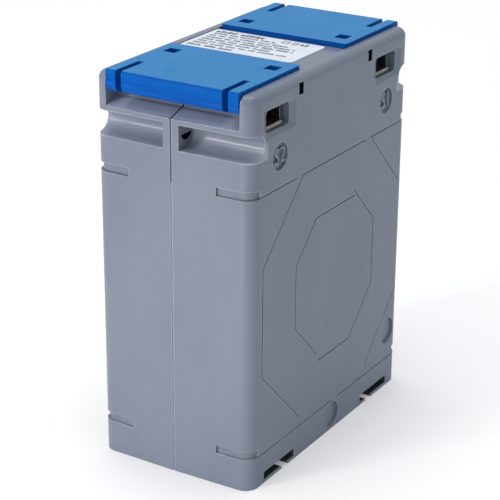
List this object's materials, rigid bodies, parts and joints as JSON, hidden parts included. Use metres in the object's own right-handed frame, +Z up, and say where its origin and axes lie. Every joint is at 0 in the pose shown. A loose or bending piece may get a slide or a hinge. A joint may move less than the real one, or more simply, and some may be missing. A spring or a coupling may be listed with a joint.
{
  "type": "current transformer",
  "caption": "Moulded block current transformer with hinged sealable terminal covers on top, cage terminals in the sides and foot channels below.",
  "frame": {"origin": "centre of the underside, on the parting plane of the two half shells", "axes": "+X through the thickness towards the secondary side, -Y towards the narrow front face, +Z up"},
  "size_m": [0.05, 0.088, 0.114],
  "materials": {
    "casing_right": "matt, fine texture",
    "casing_left": "matt, fine texture",
    "cover_front": "satin",
    "cover_back": "satin",
    "cage_steel": "zinc plated",
    "busbar_brass": "tinned copper",
    "screw_steel": "zinc plated",
    "carrier_plastic": "matt",
    "lead_wire": "enamelled copper",
    "winding_copper": "enamelled copper",
    "core_steel": "wound strip steel",
    "tray_plastic": "matt",
    "tape": "polyester tape",
    "foam": "closed-cell foam",
    "label_sheet": "matt foil"
  },
  "bodies": {
    "casing": {"right_shell": "casing_right", "left_shell": "casing_left", "terminal_cage_s2": "cage_steel", "busbar_s2": "busbar_brass", "terminal_screw_s2": "screw_steel", "terminal_cage_s1": "cage_steel", "busbar_s1": "busbar_brass", "terminal_screw_s1": "screw_steel", "terminal_cage_p1": "cage_steel", "busbar_p1": "busbar_brass", "terminal_screw_p1": "screw_steel", "terminal_cage_p2": "cage_steel", "busbar_p2": "busbar_brass", "terminal_screw_p2": "screw_steel", "terminal_carrier_front": "carrier_plastic", "secondary_lead_front": "lead_wire", "primary_link_front": "winding_copper", "terminal_carrier_back": "carrier_plastic", "secondary_lead_back": "lead_wire", "primary_link_back": "winding_copper", "ring_core": "core_steel", "core_tray": "tray_plastic", "core_lid": "tray_plastic", "secondary_winding": "winding_copper", "winding_tape": "tape", "primary_winding": "winding_copper", "coil_cradle": "carrier_plastic", "side_pad_right": "foam", "side_pad_left": "foam", "rating_label": "label_sheet"},
    "front_lid": {"front_cover": "cover_front"},
    "back_lid": {"back_cover": "cover_back"}
  },
  "joints": [
    {"name": "front_cover_hinge", "type": "hinge", "parent": "casing", "child": "front_lid", "pos_m": [0, -0.0408, 0.1106], "axis": [1, 0, 0], "range_deg": [0, 100]},
    {"name": "back_cover_hinge", "type": "hinge", "parent": "casing", "child": "back_lid", "pos_m": [0, 0.0408, 0.1106], "axis": [-1, 0, 0], "range_deg": [0, 100]}
  ]
}
